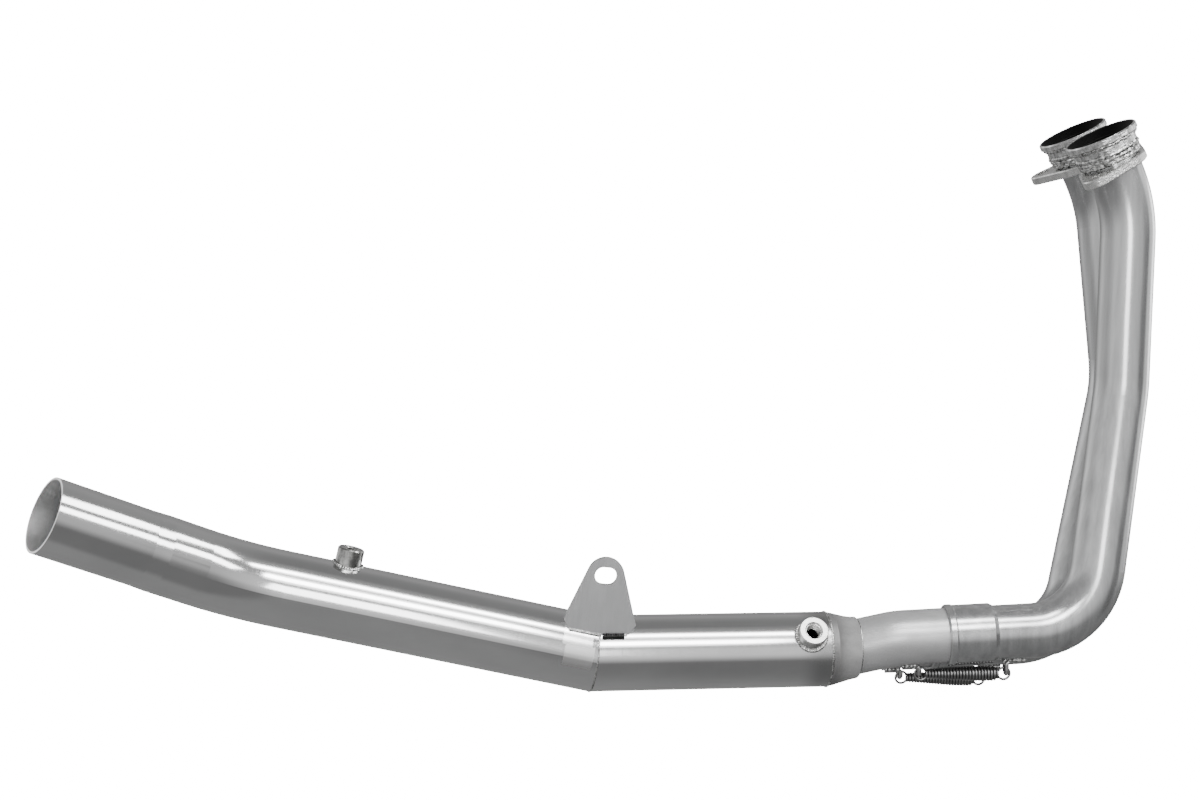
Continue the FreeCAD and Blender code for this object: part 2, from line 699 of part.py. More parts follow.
def boss(name, place, radius, bore, reach, pipe_axis):
    """Turned threaded boss with a chamfered face, its foot cut to sit on the pipe."""
    body = new_body(name + "_turning")
    chamfer = "sizes.boss_chamfer"
    foot = "sizes.link_radius / 2"
    corners = [
        (bore, foot),
        (radius, foot),
        (radius, f"{reach} - {chamfer}"),
        (f"{radius} - {chamfer}", reach),
        (f"{bore} + {chamfer}", reach),
        (bore, f"{reach} - {chamfer}"),
    ]
    turned(body, profile_sketch(body, name + "_outline", corners))
    body.Placement = place
    start = place.Base - pipe_axis * (size("link_radius") * SADDLE_SHARE / 2)
    piece = cut(name, body, saddle(name + "_saddle", start, pipe_axis))
    piece.Label = name
    return piece


def hanger_bracket():
    """Flat plate on the right of the pipe, narrowing to a round head with a slotted hole."""
    body = new_body("hanger_plate")
    sketch = sketch_on(body, "hanger_outline", "XZ_Plane")
    head = size("hanger_top_radius")
    height = size("hanger_height")
    half_base = size("hanger_base") / 2
    foot = math.sqrt(size("link_radius") ** 2 - size("hanger_side") ** 2) / 2
    half_foot = size("hanger_foot") / 2
    shoulder = size("hanger_shoulder")
    reach = math.hypot(half_base, height - shoulder)
    swing = math.asin(head / reach)
    slant = math.atan2(height - shoulder, half_base) + swing
    tangent_x = head * math.sin(slant)
    tangent_y = height + head * math.cos(slant)
    z_axis = Vector(0, 0, 1)
    base = sketch.addGeometry(
        Part.LineSegment(Vector(-half_foot, foot, 0), Vector(half_foot, foot, 0)), False)
    right_corner = sketch.addGeometry(
        Part.LineSegment(Vector(half_foot, foot, 0), Vector(half_base, shoulder, 0)), False)
    right = sketch.addGeometry(
        Part.LineSegment(Vector(half_base, shoulder, 0), Vector(tangent_x, tangent_y, 0)), False)
    circle = Part.Circle(Vector(0, height, 0), z_axis, head)
    start_angle = math.atan2(tangent_y - height, tangent_x)
    top = sketch.addGeometry(Part.ArcOfCircle(circle, start_angle, math.pi - start_angle), False)
    left = sketch.addGeometry(
        Part.LineSegment(Vector(-tangent_x, tangent_y, 0), Vector(-half_base, shoulder, 0)), False)
    left_corner = sketch.addGeometry(
        Part.LineSegment(Vector(-half_base, shoulder, 0), Vector(-half_foot, foot, 0)), False)
    constrain(sketch, "Coincident", base, 2, right_corner, 1)
    constrain(sketch, "Coincident", right_corner, 2, right, 1)
    constrain(sketch, "Tangent", right, 2, top, 1)
    constrain(sketch, "Tangent", top, 2, left, 1)
    constrain(sketch, "Coincident", left, 2, left_corner, 1)
    constrain(sketch, "Coincident", left_corner, 2, base, 1)
    constrain(sketch, "Horizontal", base)
    constrain(sketch, "DistanceX", -1, 1, base, 2, half_foot, expression="sizes.hanger_foot / 2")
    constrain(sketch, "DistanceX", base, 1, -1, 1, half_foot, expression="sizes.hanger_foot / 2")
    constrain(sketch, "DistanceX", -1, 1, right, 1, half_base, expression="sizes.hanger_base / 2")
    constrain(sketch, "DistanceX", left, 2, -1, 1, half_base, expression="sizes.hanger_base / 2")
    constrain(sketch, "DistanceY", -1, 1, right, 1, shoulder, expression="sizes.hanger_shoulder")
    constrain(sketch, "DistanceY", -1, 1, left, 2, shoulder, expression="sizes.hanger_shoulder")
    constrain(sketch, "DistanceY", -1, 1, base, 2, foot,
              expression="sqrt(sizes.link_radius ^ 2 - sizes.hanger_side ^ 2) / 2")
    constrain(sketch, "PointOnObject", top, 3, -2)
    constrain(sketch, "DistanceY", -1, 1, top, 3, height, expression="sizes.hanger_height")
    constrain(sketch, "Radius", top, head, expression="sizes.hanger_top_radius")
    pad = body.newObject("PartDesign::Pad", "hanger_sheet")
    pad.Profile = sketch
    bind(pad, "Length", "sizes.hanger_thickness")
    pad.Midplane = True
    slot = sketch_on(body, "hanger_slot", "XZ_Plane")
    slot_radius = size("slot_radius")
    half_run = size("slot_length") / 2 - slot_radius
    ends = []
    for sign in (1, -1):
        circle = Part.Circle(Vector(sign * half_run, height, 0), z_axis, slot_radius)
        turn = 0.0 if sign == 1 else math.pi
        ends.append(slot.addGeometry(
            Part.ArcOfCircle(circle, turn - math.pi / 2, turn + math.pi / 2), False))
    upper = slot.addGeometry(Part.LineSegment(
        Vector(half_run, height + slot_radius, 0), Vector(-half_run, height + slot_radius, 0)), False)
    lower = slot.addGeometry(Part.LineSegment(
        Vector(-half_run, height - slot_radius, 0), Vector(half_run, height - slot_radius, 0)), False)
    constrain(slot, "Tangent", ends[0], 2, upper, 1)
    constrain(slot, "Tangent", upper, 2, ends[1], 1)
    constrain(slot, "Tangent", ends[1], 2, lower, 1)
    constrain(slot, "Tangent", lower, 2, ends[0], 1)
    for end, sign in ((ends[0], 1), (ends[1], -1)):
        constrain(slot, "DistanceX", -1, 1, end, 3, sign * half_run,
                  expression=f"{sign} * (sizes.slot_length / 2 - sizes.slot_radius)")
    constrain(slot, "DistanceY", -1, 1, ends[0], 3, height, expression="sizes.hanger_height")
    constrain(slot, "Radius", ends[0], slot_radius, expression="sizes.slot_radius")
    pocket = body.newObject("PartDesign::Pocket", "hanger_slot_cut")
    pocket.Profile = slot
    pocket.Type = "ThroughAll"
    pocket.Midplane = True
    body.Tip = pocket
    mitre = point("mitre")
    forward = unit(mitre - point("link_bend"))
    ahead = unit(point("collector") - mitre)
    along = unit(forward + ahead)
    up = across(UP, along)
    right_hand = along.cross(up)
    middle = mitre + along * size("hanger_ahead")
    body.Placement = Placement(middle + right_hand * size("hanger_side"),
                               Rotation(along, right_hand * -1, up, "ZXY"))
    overrun = size("saddle_overrun")
    pipes = fuse("hanger_saddle", [
        saddle("hanger_rear_saddle", mitre + forward * overrun, forward * -1),
        saddle("hanger_front_saddle", mitre - ahead * overrun, ahead),
    ])
    piece = cut("hanger_bracket", body, pipes)
    piece.Label = "hanger_bracket"
    return piece


def saddle(name, start, direction):
    """Link pipe as a solid bar, to cut what is welded on it."""
    length = f"sizes.link_radius * {SADDLE_SHARE}"
    return cylinder(name, "sizes.link_radius", length, frame(start, direction, UP))


# Springs and their lugs

def spring_line(side):
    """Points on the pipe's axis above the two lugs, its direction and the way down from it."""
    start, corner, run = inlet_points(side)
    lip = corner + run * size("socket_start")
    rear = lip - run * size("rear_lug_gap")
    front = lip + run * (size("socket_length") + size("front_lug_gap"))
    down = across(UP * -1, run)
    return rear, front, run, down


def hooked_point(side, end):
    """Middle of the lug's wire where the spring's hook goes round it."""
    rear, front, run, down = spring_line(side)
    base = rear if end == "rear" else front
    return base + down * (size("header_radius") + size(end + "_lug_reach"))


def lug(side, end):
    """Wire bent to a U, its legs welded along the pipe and its closed end turned down."""
    rear, front, run, down = spring_line(side)
    name = f"{side}_{end}_lug"
    away = run * -1 if end == "rear" else run
    beside = run.cross(down)
    half = size("lug_width") / 2
    lie = size("header_radius") + size("lug_wire_radius") + size("lug_seat_gap")
    seat = math.sqrt(lie ** 2 - half ** 2)
    base = (rear if end == "rear" else front) + down * seat
    low = hooked_point(side, end)
    foot = away * size("lug_foot")
    points = [base + foot - beside * half, base - beside * half, low - beside * half,
              low + beside * half, base + beside * half, base + foot + beside * half]
    turn = size("lug_bend_radius")
    loop = half * LOOP_SHARE
    path = path_object(name + "_path", points, [turn, loop, loop, turn])
    wire = swept(name, path, "sizes.lug_wire_radius")
    wire.Label = name
    return wire


def turn_radius(travel, length):
    """Mean radius of the turn at a distance from the coil's front end. The front end draws in
    sharply and the rear end over a long taper."""
    full = size("spring_radius") - size("spring_wire_radius")
    small = size("spring_end_radius") - size("spring_wire_radius")
    front_share = min(1.0, travel / size("front_taper"))
    rear_share = min(1.0, (length - travel) / size("rear_taper"))
    return small + (full - small) * min(front_share, rear_share)


def ribbed_coil(body, name, length):
    """Outline of a coil: one ridge for each turn, hollow inside and open at both ends."""
    sketch = sketch_on(body, name, "XZ_Plane")
    wire = size("spring_wire_radius")
    turns = int(size("coil_count"))
    pitch = length / turns
    heights = [pitch * i for i in range(turns + 1)]
    means = [turn_radius(z, length) for z in heights]
    valleys = [Vector(r + wire * VALLEY_SHARE, z, 0) for r, z in zip(means, heights)]
    for low, high in zip(valleys, valleys[1:]):
        crest = (low + high) * 0.5 + Vector(wire * (1 - VALLEY_SHARE), 0, 0)
        sketch.addGeometry(Part.LineSegment(low, crest), False)
        sketch.addGeometry(Part.LineSegment(crest, high), False)
    inside = [
        valleys[-1],
        Vector(means[-1] - wire, length, 0),
        Vector(turn_radius(length - size("rear_taper"), length) - wire, length - size("rear_taper"), 0),
        Vector(turn_radius(size("front_taper"), length) - wire, size("front_taper"), 0),
        Vector(means[0] - wire, 0, 0),
        valleys[0],
    ]
    for first, last in zip(inside, inside[1:]):
        sketch.addGeometry(Part.LineSegment(first, last), False)
    return sketch


def spring(side):
    """Tension spring, each end closed by a round hook that holds a lug."""
    name = side + "_spring"
    wire = size("spring_wire_radius")
    rear = hooked_point(side, "rear")
    front = hooked_point(side, "front")
    rearward = unit(rear - front)
    down = across(spring_line(side)[3], rearward)
    inset = size("hook_radius") - wire - size("lug_wire_radius") - size("hook_clearance")
    rear_hook = rear - rearward * inset
    front_hook = front + rearward * inset
    start = front_hook + rearward * (size("hook_radius") - wire)
    length = (rear_hook - start).dot(rearward) - size("hook_radius") + wire
    body = new_body(name + "_coil")
    turned(body, ribbed_coil(body, name + "_outline", length))
    body.Placement = frame(start, rearward, down)
    pieces = [body]
    for end, centre in (("front", front_hook), ("rear", rear_hook)):
        ring = doc.addObject("Part::Torus", f"{name}_{end}_hook")
        bind(ring, "Radius1", "sizes.hook_radius")
        bind(ring, "Radius2", "sizes.spring_wire_radius")
        ring.Placement = frame(centre, down.cross(rearward), rearward)
        pieces.append(ring)
    piece = fuse(name, pieces)
    piece.Label = name
    return piece


def check(pieces):
    """Stops if a feature failed or a piece isn't a sound solid."""
    for obj in doc.Objects:
        if "Invalid" in obj.State or "Error" in obj.State:
            raise RuntimeError(f"{obj.Name} failed: {obj.State}")
    for piece in pieces:
        shape = piece.Shape
        if shape.isNull() or not shape.isValid() or not shape.Solids:
            raise RuntimeError(f"{piece.Label} isn't a sound solid")


def main():
    write_sizes()
    pieces = []
    for side in ("near", "far"):
        pieces += [port_ring(side), flange(side), header_pipe(side), inlet(side)]
    pieces += [collector_neck(), link_front(), link_rear(), hanger_bracket()]
    centre, axis, near_side, up = collector_frame()
    pieces.append(boss("sensor_boss", sensor_place(), "sizes.sensor_radius", "sizes.sensor_bore",
                       "sizes.sensor_reach", axis))
    rear_axis = unit(point("mitre") - point("link_bend"))
    pieces.append(boss("rear_boss", rear_boss_place(), "sizes.boss_radius", "sizes.boss_bore",
                       "sizes.boss_reach", rear_axis))
    for side in ("near", "far"):
        pieces += [lug(side, "rear"), lug(side, "front"), spring(side)]
    doc.recompute()
    check(pieces)
    os.makedirs("parts", exist_ok=True)
    for piece in pieces:
        piece.Shape.exportStep(f"parts/{piece.Label}.step")
        print(piece.Label, round(piece.Shape.Volume), len(piece.Shape.Solids))


main()
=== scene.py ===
import json
import math

import bmesh
import bpy
from mathutils import Matrix, Vector


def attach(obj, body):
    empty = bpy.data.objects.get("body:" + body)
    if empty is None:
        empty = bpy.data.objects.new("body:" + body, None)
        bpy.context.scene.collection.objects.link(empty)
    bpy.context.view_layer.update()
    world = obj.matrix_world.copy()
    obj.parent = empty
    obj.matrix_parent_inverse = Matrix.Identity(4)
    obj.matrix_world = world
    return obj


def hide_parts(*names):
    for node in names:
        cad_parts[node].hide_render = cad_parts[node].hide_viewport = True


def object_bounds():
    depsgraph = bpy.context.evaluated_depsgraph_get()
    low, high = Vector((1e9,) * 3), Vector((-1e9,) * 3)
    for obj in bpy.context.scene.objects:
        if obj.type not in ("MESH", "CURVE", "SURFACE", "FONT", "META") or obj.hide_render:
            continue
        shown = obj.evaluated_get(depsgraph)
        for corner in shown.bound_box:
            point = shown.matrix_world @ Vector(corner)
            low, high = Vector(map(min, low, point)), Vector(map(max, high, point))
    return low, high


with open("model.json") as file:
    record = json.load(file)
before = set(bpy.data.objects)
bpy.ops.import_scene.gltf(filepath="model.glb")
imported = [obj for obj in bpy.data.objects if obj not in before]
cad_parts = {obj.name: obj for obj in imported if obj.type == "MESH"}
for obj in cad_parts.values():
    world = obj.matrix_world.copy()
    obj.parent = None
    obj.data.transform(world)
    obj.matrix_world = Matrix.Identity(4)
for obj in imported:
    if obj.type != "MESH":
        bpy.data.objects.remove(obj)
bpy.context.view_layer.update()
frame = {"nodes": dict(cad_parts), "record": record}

# Header pipes. Two stainless tubes 38 mm across with a 1.5 mm wall, bent on a mandrel and widened
# at the foot into a socket. A fine belt has left them an even satin skin with faint stripes along
# it, and the bore just below each port is painted black as shade deep inside the tube.
mounts = {mount["name"]: mount for mount in frame["record"]["mounts"]}
port_axis = Vector(mounts["near_port"]["axis"]).normalized()
ports = {side: Vector(mounts[side + "_port"]["pos_m"]) for side in ("near", "far")}
UP = Vector((0, 0, 1))
FORWARD = Vector((1, 0, 0))
RIGHT = Vector((0, -1, 0))


def turned_to(z_dir, x_hint):
    """Rotation whose Z lies along z_dir and whose X is as near to x_hint as it can be."""
    z_axis = z_dir.normalized()
    x_axis = (x_hint - z_axis * x_hint.dot(z_axis)).normalized()
    y_axis = z_axis.cross(x_axis)
    return Matrix((x_axis, y_axis, z_axis)).transposed()


def in_frame(tree, centre, turn, sizes):
    """Object coordinates in a turned frame, as shares of the given sizes in metres."""
    place = tree.nodes.new("ShaderNodeTexCoord")
    mapping = tree.nodes.new("ShaderNodeMapping")
    mapping.vector_type = "TEXTURE"
    mapping.inputs["Location"].default_value = centre
    mapping.inputs["Rotation"].default_value = turn.to_euler()
    mapping.inputs["Scale"].default_value = sizes
    tree.links.new(place.outputs["Object"], mapping.inputs["Vector"])
    return mapping.outputs["Vector"]


def grain_noise(tree, centre, axis, sizes, detail):
    """Noise in a frame whose Z is the axis, stretched to the given sizes in metres."""
    hint = FORWARD if abs(axis.dot(FORWARD)) < 0.8 else UP
    noise = tree.nodes.new("ShaderNodeTexNoise")
    noise.inputs["Scale"].default_value = 1.0
    noise.inputs["Detail"].default_value = detail
    tree.links.new(in_frame(tree, centre, turned_to(axis, hint), sizes), noise.inputs["Vector"])
    return noise.outputs["Fac"]


# Nearly all of a noise's values lie between these two
NOISE_LOW = 0.3
NOISE_HIGH = 0.7


def steel(name, tone, roughness, axis, centre=Vector((0, 0, 0)), metallic=1.0, cloud=0.05,
          cloud_size=0.04, cloud_stretch=2, grain=0.04, grain_pitch=0.0008, grain_reach=0.03,
          relief=0.00002):
    """Bare stainless steel: soft clouding in its tone, and a fine grain round an axis that
    varies its roughness and stands slightly proud."""
    material = bpy.data.materials.new(name)
    material.use_nodes = True
    tree = material.node_tree
    nodes = tree.nodes
    shader = nodes["Principled BSDF"]
    shader.inputs["Metallic"].default_value = metallic
    cloud_sizes = (cloud_size, cloud_size, cloud_size * cloud_stretch)
    clouds = grain_noise(tree, centre, axis, cloud_sizes, 4.0)
    tones = nodes.new("ShaderNodeValToRGB")
    darkest, lightest = tones.color_ramp.elements
    darkest.position = NOISE_LOW
    darkest.color = (*[t * (1 - cloud) for t in tone], 1)
    lightest.position = NOISE_HIGH
    lightest.color = (*[min(1.0, t * (1 + cloud)) for t in tone], 1)
    tree.links.new(clouds, tones.inputs["Fac"])
    tree.links.new(tones.outputs["Color"], shader.inputs["Base Color"])
    lines = grain_noise(tree, centre, axis, (grain_reach, grain_reach, grain_pitch), 3.0)
    spread = nodes.new("ShaderNodeMapRange")
    spread.inputs["From Min"].default_value = NOISE_LOW
    spread.inputs["From Max"].default_value = NOISE_HIGH
    spread.inputs["To Min"].default_value = roughness - grain
    spread.inputs["To Max"].default_value = roughness + grain
    tree.links.new(lines, spread.inputs["Value"])
    tree.links.new(spread.outputs["Result"], shader.inputs["Roughness"])
    bump = nodes.new("ShaderNodeBump")
    bump.inputs["Strength"].default_value = 1.0
    bump.inputs["Distance"].default_value = relief
    tree.links.new(lines, bump.inputs["Height"])
    tree.links.new(bump.outputs["Normal"], shader.inputs["Normal"])
    return material


def refinish(material, centre, axis, radius, reach, tone, roughness, rounded=False, edge=0.05):
    """Another tone and roughness inside a cylinder round an axis, or inside a rounded bowl, over
    the finish that the material has."""
    tree = material.node_tree
    nodes = tree.nodes
    links = tree.links
    shader = nodes["Principled BSDF"]
    place = in_frame(tree, centre, turned_to(axis, FORWARD), (radius, radius, reach))
    shares = []
    for keep in ((1, 1, 1),) if rounded else ((1, 1, 0), (0, 0, 1)):
        flatten = nodes.new("ShaderNodeVectorMath")
        flatten.operation = "MULTIPLY"
        flatten.inputs[1].default_value = keep
        length = nodes.new("ShaderNodeVectorMath")
        length.operation = "LENGTH"
        links.new(place, flatten.inputs[0])
        links.new(flatten.outputs["Vector"], length.inputs[0])
        shares.append(length.outputs["Value"])
    larger = nodes.new("ShaderNodeMath")
    larger.operation = "MAXIMUM"
    links.new(shares[0], larger.inputs[0])
    links.new(shares[-1], larger.inputs[1])
    inside = nodes.new("ShaderNodeMapRange")
    inside.interpolation_type = "SMOOTHSTEP"
    inside.inputs["From Min"].default_value = 1.0
    inside.inputs["From Max"].default_value = 1.0 - edge
    links.new(larger.outputs["Value"], inside.inputs["Value"])
    for socket, value in (("Base Color", (*tone, 1)), ("Roughness", (roughness,) * 3 + (1,))):
        source = shader.inputs[socket].links[0].from_socket
        blend = nodes.new("ShaderNodeMix")
        blend.data_type = "RGBA"
        blend.inputs["B"].default_value = value
        links.new(inside.outputs["Result"], blend.inputs["Factor"])
        links.new(source, blend.inputs["A"])
        links.new(blend.outputs["Result"], shader.inputs[socket])


def finish(node, material):
    """Gives a CAD node its finish."""
    for slot in frame["nodes"][node].material_slots:
        slot.material = material


header_wall = 0.0015
header_radius = 0.019
satin_tone = (0.46, 0.463, 0.466)
painted_bore_shade = (0.006, 0.006, 0.006)
tube_shade_radius = header_radius - header_wall * 0.5
tube_shade_reach = 0.034
for side in ("near", "far"):
    satin = steel(side + "_header_satin", satin_tone, 0.2, UP, grain=0.02, grain_pitch=0.1,
                  grain_reach=0.006, cloud=0.14, cloud_size=0.005, cloud_stretch=40,
                  relief=0.000001, metallic=0.85)
    # Painted shade: the bore just below the port is painted black, standing in for the shade deep
    # inside the tube.
    refinish(satin, ports[side], port_axis, tube_shade_radius, tube_shade_reach, painted_bore_shade, 0.7)
    finish(side + "_header_pipe", satin)

# Port rings. Each is turned from stainless bar, with a rim that seals on the crush gasket in the
# head and a funnel down to the tube, painted black inside as shade deep in the bore. A coarse weld
# bead lies under the rim, and three passes of weld build up the joint between the hub's foot and
# the tube.
rim_face = 0.002
funnel_radius = 0.0248
funnel_reach = 0.009
seat_shade_radius = header_radius - header_wall * 0.4
seat_shade_reach = 0.03
for side in ("near", "far"):
    turned = steel(side + "_ring_turned", (0.78, 0.78, 0.77), 0.24, port_axis, ports[side],
                   cloud=0.5, cloud_size=0.0025, grain=0.1, grain_pitch=0.0012, grain_reach=0.004,
                   relief=0.00025)
    # Painted shade: the funnel under the rim and the bore below it are painted black, standing in for
    # the shade deep inside the ring.
    refinish(turned, ports[side] + port_axis * rim_face, port_axis, funnel_radius, funnel_reach, painted_bore_shade,
             0.6, rounded=True)
    refinish(turned, ports[side], port_axis, seat_shade_radius, seat_shade_reach, painted_bore_shade, 0.7)
    finish(side + "_port_ring", turned)


def new_tree(name, curve, numbers, mesh):
    """Node tree that takes a curve, numbers with their defaults and a material, and gives a mesh."""
    tree = bpy.data.node_groups.new(name, "GeometryNodeTree")
    sockets = tree.interface
    sockets.new_socket(curve, in_out="INPUT", socket_type="NodeSocketGeometry")
    for number, default in numbers:
        made = sockets.new_socket(number, in_out="INPUT", socket_type="NodeSocketFloat")
        made.default_value = default
    sockets.new_socket("Material", in_out="INPUT", socket_type="NodeSocketMaterial")
    sockets.new_socket(mesh, in_out="OUTPUT", socket_type="NodeSocketGeometry")
    return tree


def operate(tree, operation, *values):
    """Math node on sockets or plain numbers."""
    node = tree.nodes.new("ShaderNodeMath")
    node.operation = operation
    for index, value in enumerate(values):
        if isinstance(value, (int, float)):
            node.inputs[index].default_value = value
        else:
            tree.links.new(value, node.inputs[index])
    return node.outputs[0]


def round_skin(tree, curve, radius, sides, scale=None):
    """Round skin along a curve, closed at its ends."""
    circle = tree.nodes.new("GeometryNodeCurvePrimitiveCircle")
    circle.inputs["Resolution"].default_value = sides
    tree.links.new(radius, circle.inputs["Radius"])
    skin = tree.nodes.new("GeometryNodeCurveToMesh")
    skin.inputs["Fill Caps"].default_value = True
    tree.links.new(curve, skin.inputs["Curve"])
    tree.links.new(circle.outputs["Curve"], skin.inputs["Profile Curve"])
    if scale is not None:
        tree.links.new(scale, skin.inputs["Scale"])
    return skin.outputs["Mesh"]


def hand_out(tree, mesh, material, name):
    """Smooths and paints a mesh and hands it out of its tree."""
    smooth = tree.nodes.new("GeometryNodeSetShadeSmooth")
    realize = tree.nodes.new("GeometryNodeRealizeInstances")
    paint = tree.nodes.new("GeometryNodeSetMaterial")
    result = tree.nodes.new("NodeGroupOutput")
    tree.links.new(mesh, smooth.inputs["Geometry"])
    tree.links.new(smooth.outputs["Geometry"], realize.inputs["Geometry"])
    tree.links.new(realize.outputs["Geometry"], paint.inputs["Geometry"])
    tree.links.new(material, paint.inputs["Material"])
    tree.links.new(paint.outputs["Geometry"], result.inputs[name])


def bead_tree():
    """Rippled round bead along a curve, with a step for each drop of filler."""
    tree = new_tree("weld_bead", "Seam", (("Radius", 0.0014), ("Ripple Pitch", 0.0016),
                                          ("Ripple", 0.2), ("Unevenness", 0.0003)), "Bead")
    nodes = tree.nodes
    links = tree.links
    given = nodes.new("NodeGroupInput")
    resample = nodes.new("GeometryNodeResampleCurve")
    resample.mode = "LENGTH"
    rings_per_ripple = 5.0
    step = operate(tree, "DIVIDE", given.outputs["Ripple Pitch"], rings_per_ripple)
    links.new(given.outputs["Seam"], resample.inputs["Curve"])
    links.new(step, resample.inputs["Length"])
    along = nodes.new("GeometryNodeSplineParameter")
    turns = operate(tree, "DIVIDE", along.outputs["Length"], given.outputs["Ripple Pitch"])
    phase = operate(tree, "FRACT", turns)
    crest = operate(tree, "MULTIPLY", operate(tree, "SUBTRACT", phase, 0.5), given.outputs["Ripple"])
    scale = operate(tree, "ADD", 1.0, crest)
    skin = round_skin(tree, resample.outputs["Curve"], given.outputs["Radius"], 10, scale)
    noise = nodes.new("ShaderNodeTexNoise")
    noise.inputs["Scale"].default_value = 420.0
    centred = nodes.new("ShaderNodeVectorMath")
    centred.operation = "SUBTRACT"
    centred.inputs[1].default_value = (0.5, 0.5, 0.5)
    links.new(noise.outputs["Color"], centred.inputs[0])
    scaled = nodes.new("ShaderNodeVectorMath")
    scaled.operation = "SCALE"
    links.new(centred.outputs["Vector"], scaled.inputs[0])
    links.new(given.outputs["Unevenness"], scaled.inputs["Scale"])
    shift = nodes.new("GeometryNodeSetPosition")
    links.new(skin, shift.inputs["Geometry"])
    links.new(scaled.outputs["Vector"], shift.inputs["Offset"])
    hand_out(tree, shift.outputs["Geometry"], given.outputs["Material"], "Bead")
    return tree


weld_bead = bead_tree()
weld_steel = steel("weld_steel", (0.48, 0.48, 0.475), 0.25, UP, cloud=0.75, cloud_size=0.0022,
                   grain=0.1, grain_pitch=0.0015, grain_reach=0.0015, relief=0.0001)
# Near-black steel for painted shade in the gap under the hanger's foot.
crevice_shade = steel("crevice_shade", (0.03, 0.03, 0.03), 0.5, UP, cloud=0.5, cloud_size=0.002)


def from_curve(name, path, closed, tree, values):
    """Mesh that a node tree makes along a path."""
    curve = bpy.data.curves.new(name + "_path", "CURVE")
    curve.dimensions = "3D"
    spline = curve.splines.new("POLY")
    spline.points.add(len(path) - 1)
    for point, place in zip(spline.points, path):
        point.co = (*place, 1)
    spline.use_cyclic_u = closed
    carrier = bpy.data.objects.new(name + "_path", curve)
    bpy.context.scene.collection.objects.link(carrier)
    modifier = carrier.modifiers.new("nodes", "NODES")
    modifier.node_group = tree
    identifiers = {item.name: item.identifier for item in tree.interface.items_tree
                   if item.in_out == "INPUT"}
    for key, value in values.items():
        modifier[identifiers[key]] = value
    bpy.context.view_layer.update()
    graph = bpy.context.evaluated_depsgraph_get()
    mesh = bpy.data.meshes.new_from_object(carrier.evaluated_get(graph), depsgraph=graph)
    bpy.data.objects.remove(carrier)
    return mesh


def piece_of(name, mesh, body="header"):
    """New piece from a mesh, riding on a body."""
    piece = bpy.data.objects.new(name, mesh)
    bpy.context.scene.collection.objects.link(piece)
    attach(piece, body)
    return piece


def weld(name, path, radius=0.0014, closed=True, ripple=0.35, pitch=0.0016, unevenness=0.0004,
         material=weld_steel):
    """Weld bead along a path, as one piece."""
    values = {"Radius": radius, "Ripple Pitch": pitch, "Ripple": ripple, "Unevenness": unevenness,
              "Material": material}
    return piece_of(name, from_curve(name, path, closed, weld_bead, values))


def ring_path(centre, axis, radius, count=96):
    """Points round an axis."""
    turn = turned_to(axis, FORWARD if abs(axis.dot(FORWARD)) < 0.9 else UP)
    angles = [2 * math.pi * i / count for i in range(count)]
    return [centre + turn @ Vector((radius * math.cos(a), radius * math.sin(a), 0)) for a in angles]


# Each pass: depth below the port, radius of its seam, radius of its bead
weld_passes = ((0.0036, 0.0229, 0.0013), (0.0106, 0.0208, 0.0020), (0.0134, 0.0203, 0.0021),
               (0.0160, 0.0198, 0.0019))
for side in ("near", "far"):
    for number, (depth, seam_radius, bead_radius) in enumerate(weld_passes):
        seam = ring_path(ports[side] - port_axis * depth, port_axis, seam_radius)
        weld(f"{side}_ring_weld_{number + 1}", seam, radius=bead_radius, ripple=0.5, pitch=0.006,
             unevenness=0.0024)

# Flange plates. Each is laser-cut from 6 mm stainless plate and tumbled, has two 8.6 mm stud holes,
# and turns freely on its tube below the ring.
flange_drop = 0.022
for side in ("near", "far"):
    centre = ports[side] - port_axis * flange_drop
    plate = steel(side + "_plate_tumbled", (0.8, 0.8, 0.79), 0.26, port_axis, centre, cloud=0.2,
                  cloud_size=0.004, grain=0.08, grain_pitch=0.0016, grain_reach=0.0016, relief=0.0002)
    finish(side + "_flange", plate)

# Collector inlets. Two short bent tubes of the same 38 mm stock, pushed into the sockets of the
# header pipes and cut along the plane where they meet.
for side in ("near", "far"):
    finish(side + "_inlet", steel(side + "_inlet_satin", satin_tone, 0.33, FORWARD, cloud=0.08,
                                  cloud_size=0.008, grain=0.02, relief=0.000001, metallic=0.5))

# Collector neck. It is pressed in two halves from 1.5 mm sheet, from an oval round the two inlets
# to the round link pipe, and welded to both.
collector = Vector((-0.173, -0.0405, -0.353))
mitre = Vector((-0.352, -0.067, -0.3495))
collector_axis = (collector - mitre).normalized()
neck_length = 0.018
neck_roll = math.radians(18)
neck_start = collector - collector_axis * neck_length
neck_right = (RIGHT - collector_axis * RIGHT.dot(collector_axis)).normalized()
near_side = Matrix.Rotation(-neck_roll, 3, collector_axis) @ neck_right
neck_up = near_side.cross(collector_axis) * -1
neck_steel = steel("neck_pressed", (0.42, 0.42, 0.42), 0.4, collector_axis, collector, cloud=0.15,
                   cloud_size=0.012, grain=0.02, relief=0.000001, metallic=0.5)
all_round = 0.2
# Painted shade: a dark band round the rear seam, where the link pipe runs into the neck in a crease.
refinish(neck_steel, neck_start, collector_axis, all_round, 0.013, (0.2, 0.2, 0.2), 0.45, edge=0.8)
finish("collector_neck", neck_steel)


def oval_path(centre, side, up, radius, half_run, count=40):
    """Points round an oval with two straight sides."""
    points = []
    for sign in (1, -1):
        for i in range(count + 1):
            angle = math.pi * i / count - math.pi / 2
            out = side * (sign * (half_run + radius * math.cos(angle)))
            points.append(centre + out + up * (sign * radius * math.sin(angle)))
    return points


neck_radius = 0.0202
neck_half_run = 0.0131
neck_face = collector + collector_axis * 0.0005
neck_seam = oval_path(neck_face, near_side, neck_up, neck_radius, neck_half_run)
weld("neck_front_weld", neck_seam, radius=0.0006, ripple=0.1, unevenness=0.0001)
weld("neck_rear_weld", ring_path(neck_start, collector_axis, 0.0257), radius=0.0008, ripple=0.2,
     unevenness=0.0003)
